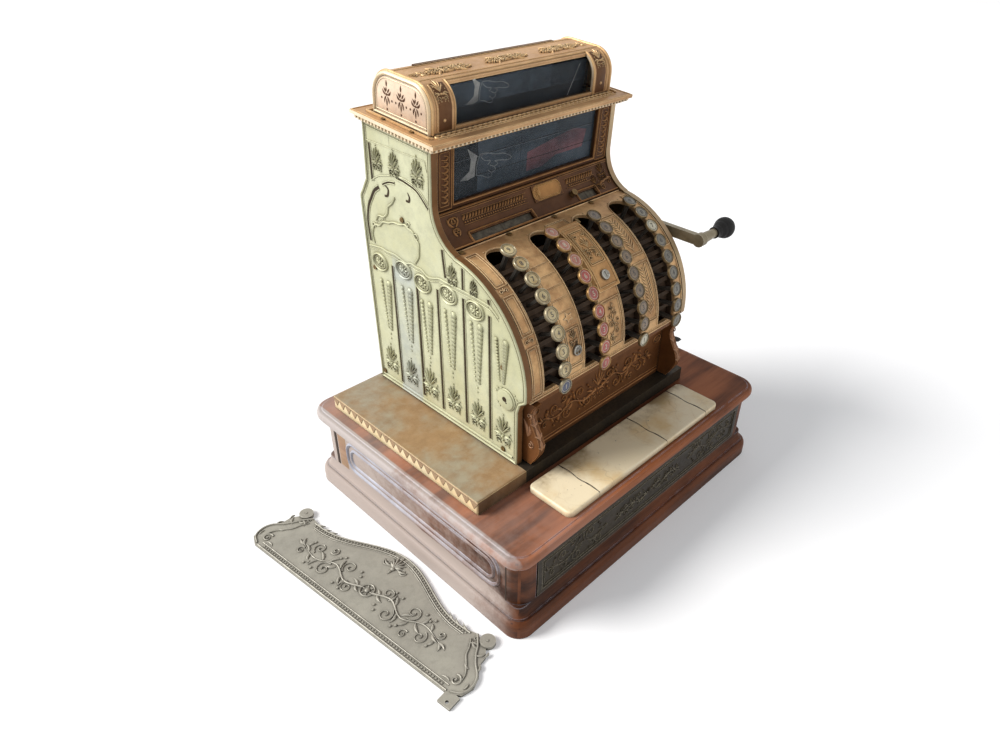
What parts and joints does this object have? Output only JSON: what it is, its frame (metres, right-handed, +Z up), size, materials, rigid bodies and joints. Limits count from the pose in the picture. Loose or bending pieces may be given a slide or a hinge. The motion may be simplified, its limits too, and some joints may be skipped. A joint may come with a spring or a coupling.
{
  "type": "crank cash register",
  "caption": "Antique brass cash register with round keys on a curved drum, side crank, indicator windows, marble coin shelf and wooden drawer case.",
  "frame": {"origin": "on the flat underside, on the middle line, 195 mm behind the front of the plinth", "axes": "+X to the operator's right, +Y from front to back, +Z up"},
  "size_m": [0.6462, 0.4209, 0.5634],
  "materials": {
    "wood": "worn satin varnish",
    "wood_top": "worn satin varnish",
    "wood_inner": "bare",
    "bronze": "blackened cast bronze",
    "marble": "honed, stained",
    "iron": "grimy",
    "ledge_brass": "tarnished sheet",
    "panel_brass": "pale, worn plating",
    "frame_brass": "brown patina",
    "drum_brass": "brown patina, rubbed edges",
    "head_brass": "aged",
    "glass": "dark behind",
    "nickel": "worn nickel",
    "black": "worn black",
    "steel": "oiled",
    "sign_metal": "dull grey casting",
    "screw_steel": "tarnished",
    "key_ivory": "aged",
    "key_red": "aged",
    "key_tan": "aged",
    "key_grey": "aged"
  },
  "bodies": {
    "base": {"base_case": "wood", "top_board": "wood_top", "marble_shelf": "marble", "base_plate": "iron", "ledge_cover": "ledge_brass", "left_panel": "panel_brass", "right_panel": "panel_brass", "back_cover": "ledge_brass", "window_frame": "frame_brass", "key_drum": "drum_brass", "key_banks": "iron", "front_plate": "frame_brass", "cornice": "head_brass", "hood": "head_brass", "window_glass": "glass", "fasteners": "screw_steel"},
    "drawer": {"drawer_box": "wood_inner", "drawer_front": "bronze"},
    "lid": {"counter_lid": "head_brass"},
    "crank": {"crank_arm": "nickel"},
    "grip": {"crank_grip": "black"},
    "main_shaft": {"main_gear": "steel"},
    "lever": {"side_lever": "black"},
    "sign": {"top_sign": "sign_metal"},
    "key_a1": {"key_a1": "key_ivory"},
    "key_a2": {"key_a2": "key_ivory"},
    "key_a3": {"key_a3": "key_ivory"},
    "key_a4": {"key_a4": "key_ivory"},
    "key_a5": {"key_a5": "key_ivory"},
    "key_a6": {"key_a6": "key_ivory"},
    "key_a7": {"key_a7": "key_ivory"},
    "key_a8": {"key_a8": "key_ivory"},
    "key_a9": {"key_a9": "key_ivory"},
    "key_b1": {"key_b1": "key_red"},
    "key_b2": {"key_b2": "key_red"},
    "key_b3": {"key_b3": "key_red"},
    "key_b4": {"key_b4": "key_red"},
    "key_b5": {"key_b5": "key_red"},
    "key_b6": {"key_b6": "key_red"},
    "key_b7": {"key_b7": "key_red"},
    "key_b8": {"key_b8": "key_red"},
    "key_b9": {"key_b9": "key_red"},
    "key_c1": {"key_c1": "key_tan"},
    "key_c2": {"key_c2": "key_tan"},
    "key_c3": {"key_c3": "key_tan"},
    "key_c4": {"key_c4": "key_tan"},
    "key_c5": {"key_c5": "key_tan"},
    "key_c6": {"key_c6": "key_tan"},
    "key_c7": {"key_c7": "key_tan"},
    "key_c8": {"key_c8": "key_tan"},
    "key_c9": {"key_c9": "key_tan"},
    "key_d1": {"key_d1": "key_grey"},
    "key_d2": {"key_d2": "key_grey"},
    "key_d3": {"key_d3": "key_grey"},
    "key_d4": {"key_d4": "key_grey"},
    "key_d5": {"key_d5": "key_grey"},
    "key_d6": {"key_d6": "key_grey"},
    "key_d7": {"key_d7": "key_grey"},
    "key_d8": {"key_d8": "key_grey"},
    "key_d9": {"key_d9": "key_grey"}
  },
  "joints": [
    {"name": "drawer_slide", "type": "slide", "parent": "base", "child": "drawer", "axis": [0, -1, 0], "range_m": [0, 0.26]},
    {"name": "lid_hinge", "type": "hinge", "parent": "base", "child": "lid", "pos_m": [0.01, -0.00588, 0.38164], "axis": [-1, 0, 0], "range_deg": [0, 100]},
    {"name": "crank_turn", "type": "hinge", "parent": "base", "child": "crank", "pos_m": [0.171, 0.045, 0.3445], "axis": [1, 0, 0], "continuous": true},
    {"name": "grip_spin", "type": "hinge", "parent": "crank", "child": "grip", "pos_m": [0.225, -0.097, 0.3445], "axis": [1, 0, 0], "continuous": true},
    {"name": "main_shaft_turn", "type": "hinge", "parent": "base", "child": "main_shaft", "pos_m": [0.148, 0.045, 0.2991], "axis": [1, 0, 0], "continuous": true},
    {"name": "lever_swing", "type": "hinge", "parent": "base", "child": "lever", "pos_m": [0.159, -0.0844, 0.1953], "axis": [0, 1, 0], "range_deg": [-15, 15]},
    {"name": "sign_lift", "type": "slide", "parent": "base", "child": "sign", "axis": [0, 0, 1], "range_m": [0, 0.3]},
    {"name": "key_a1_press", "type": "slide", "parent": "base", "child": "key_a1", "axis": [0, 0.3649, -0.9311], "range_m": [0, 0.008], "stiffness_N_per_m": 400, "springref_m": -0.003},
    {"name": "key_a2_press", "type": "slide", "parent": "base", "child": "key_a2", "axis": [0, 0.4983, -0.867], "range_m": [0, 0.008], "stiffness_N_per_m": 400, "springref_m": -0.003},
    {"name": "key_a3_press", "type": "slide", "parent": "base", "child": "key_a3", "axis": [0, 0.6209, -0.7839], "range_m": [0, 0.008], "stiffness_N_per_m": 400, "springref_m": -0.003},
    {"name": "key_a4_press", "type": "slide", "parent": "base", "child": "key_a4", "axis": [0, 0.7298, -0.6837], "range_m": [0, 0.008], "stiffness_N_per_m": 400, "springref_m": -0.003},
    {"name": "key_a5_press", "type": "slide", "parent": "base", "child": "key_a5", "axis": [0, 0.8227, -0.5684], "range_m": [0, 0.008], "stiffness_N_per_m": 400, "springref_m": -0.003},
    {"name": "key_a6_press", "type": "slide", "parent": "base", "child": "key_a6", "axis": [0, 0.8976, -0.4407], "range_m": [0, 0.008], "stiffness_N_per_m": 400, "springref_m": -0.003},
    {"name": "key_a7_press", "type": "slide", "parent": "base", "child": "key_a7", "axis": [0, 0.9529, -0.3034], "range_m": [0, 0.008], "stiffness_N_per_m": 400, "springref_m": -0.003},
    {"name": "key_a8_press", "type": "slide", "parent": "base", "child": "key_a8", "axis": [0, 0.9872, -0.1594], "range_m": [0, 0.008], "stiffness_N_per_m": 400, "springref_m": -0.003},
    {"name": "key_a9_press", "type": "slide", "parent": "base", "child": "key_a9", "axis": [0, 0.9999, -0.0119], "range_m": [0, 0.008], "stiffness_N_per_m": 400, "springref_m": -0.003},
    {"name": "key_b1_press", "type": "slide", "parent": "base", "child": "key_b1", "axis": [0, 0.3649, -0.9311], "range_m": [0, 0.008], "stiffness_N_per_m": 400, "springref_m": -0.003},
    {"name": "key_b2_press", "type": "slide", "parent": "base", "child": "key_b2", "axis": [0, 0.4983, -0.867], "range_m": [0, 0.008], "stiffness_N_per_m": 400, "springref_m": -0.003},
    {"name": "key_b3_press", "type": "slide", "parent": "base", "child": "key_b3", "axis": [0, 0.6209, -0.7839], "range_m": [0, 0.008], "stiffness_N_per_m": 400, "springref_m": -0.003},
    {"name": "key_b4_press", "type": "slide", "parent": "base", "child": "key_b4", "axis": [0, 0.7298, -0.6837], "range_m": [0, 0.008], "stiffness_N_per_m": 400, "springref_m": -0.003},
    {"name": "key_b5_press", "type": "slide", "parent": "base", "child": "key_b5", "axis": [0, 0.8227, -0.5684], "range_m": [0, 0.008], "stiffness_N_per_m": 400, "springref_m": -0.003},
    {"name": "key_b6_press", "type": "slide", "parent": "base", "child": "key_b6", "axis": [0, 0.8976, -0.4407], "range_m": [0, 0.008], "stiffness_N_per_m": 400, "springref_m": -0.003},
    {"name": "key_b7_press", "type": "slide", "parent": "base", "child": "key_b7", "axis": [0, 0.9529, -0.3034], "range_m": [0, 0.008], "stiffness_N_per_m": 400, "springref_m": -0.003},
    {"name": "key_b8_press", "type": "slide", "parent": "base", "child": "key_b8", "axis": [0, 0.9872, -0.1594], "range_m": [0, 0.008], "stiffness_N_per_m": 400, "springref_m": -0.003},
    {"name": "key_b9_press", "type": "slide", "parent": "base", "child": "key_b9", "axis": [0, 0.9999, -0.0119], "range_m": [0, 0.008], "stiffness_N_per_m": 400, "springref_m": -0.003},
    {"name": "key_c1_press", "type": "slide", "parent": "base", "child": "key_c1", "axis": [0, 0.3649, -0.9311], "range_m": [0, 0.008], "stiffness_N_per_m": 400, "springref_m": -0.003},
    {"name": "key_c2_press", "type": "slide", "parent": "base", "child": "key_c2", "axis": [0, 0.4983, -0.867], "range_m": [0, 0.008], "stiffness_N_per_m": 400, "springref_m": -0.003},
    {"name": "key_c3_press", "type": "slide", "parent": "base", "child": "key_c3", "axis": [0, 0.6209, -0.7839], "range_m": [0, 0.008], "stiffness_N_per_m": 400, "springref_m": -0.003},
    {"name": "key_c4_press", "type": "slide", "parent": "base", "child": "key_c4", "axis": [0, 0.7298, -0.6837], "range_m": [0, 0.008], "stiffness_N_per_m": 400, "springref_m": -0.003},
    {"name": "key_c5_press", "type": "slide", "parent": "base", "child": "key_c5", "axis": [0, 0.8227, -0.5684], "range_m": [0, 0.008], "stiffness_N_per_m": 400, "springref_m": -0.003},
    {"name": "key_c6_press", "type": "slide", "parent": "base", "child": "key_c6", "axis": [0, 0.8976, -0.4407], "range_m": [0, 0.008], "stiffness_N_per_m": 400, "springref_m": -0.003},
    {"name": "key_c7_press", "type": "slide", "parent": "base", "child": "key_c7", "axis": [0, 0.9529, -0.3034], "range_m": [0, 0.008], "stiffness_N_per_m": 400, "springref_m": -0.003},
    {"name": "key_c8_press", "type": "slide", "parent": "base", "child": "key_c8", "axis": [0, 0.9872, -0.1594], "range_m": [0, 0.008], "stiffness_N_per_m": 400, "springref_m": -0.003},
    {"name": "key_c9_press", "type": "slide", "parent": "base", "child": "key_c9", "axis": [0, 0.9999, -0.0119], "range_m": [0, 0.008], "stiffness_N_per_m": 400, "springref_m": -0.003},
    {"name": "key_d1_press", "type": "slide", "parent": "base", "child": "key_d1", "axis": [0, 0.3649, -0.9311], "range_m": [0, 0.008], "stiffness_N_per_m": 400, "springref_m": -0.003},
    {"name": "key_d2_press", "type": "slide", "parent": "base", "child": "key_d2", "axis": [0, 0.4983, -0.867], "range_m": [0, 0.008], "stiffness_N_per_m": 400, "springref_m": -0.003},
    {"name": "key_d3_press", "type": "slide", "parent": "base", "child": "key_d3", "axis": [0, 0.6209, -0.7839], "range_m": [0, 0.008], "stiffness_N_per_m": 400, "springref_m": -0.003},
    {"name": "key_d4_press", "type": "slide", "parent": "base", "child": "key_d4", "axis": [0, 0.7298, -0.6837], "range_m": [0, 0.008], "stiffness_N_per_m": 400, "springref_m": -0.003},
    {"name": "key_d5_press", "type": "slide", "parent": "base", "child": "key_d5", "axis": [0, 0.8227, -0.5684], "range_m": [0, 0.008], "stiffness_N_per_m": 400, "springref_m": -0.003},
    {"name": "key_d6_press", "type": "slide", "parent": "base", "child": "key_d6", "axis": [0, 0.8976, -0.4407], "range_m": [0, 0.008], "stiffness_N_per_m": 400, "springref_m": -0.003},
    {"name": "key_d7_press", "type": "slide", "parent": "base", "child": "key_d7", "axis": [0, 0.9529, -0.3034], "range_m": [0, 0.008], "stiffness_N_per_m": 400, "springref_m": -0.003},
    {"name": "key_d8_press", "type": "slide", "parent": "base", "child": "key_d8", "axis": [0, 0.9872, -0.1594], "range_m": [0, 0.008], "stiffness_N_per_m": 400, "springref_m": -0.003},
    {"name": "key_d9_press", "type": "slide", "parent": "base", "child": "key_d9", "axis": [0, 0.9999, -0.0119], "range_m": [0, 0.008], "stiffness_N_per_m": 400, "springref_m": -0.003}
  ],
  "couplings": [
    {"joint": "main_shaft_turn", "follows": "crank_turn", "ratio": -0.5}
  ]
}
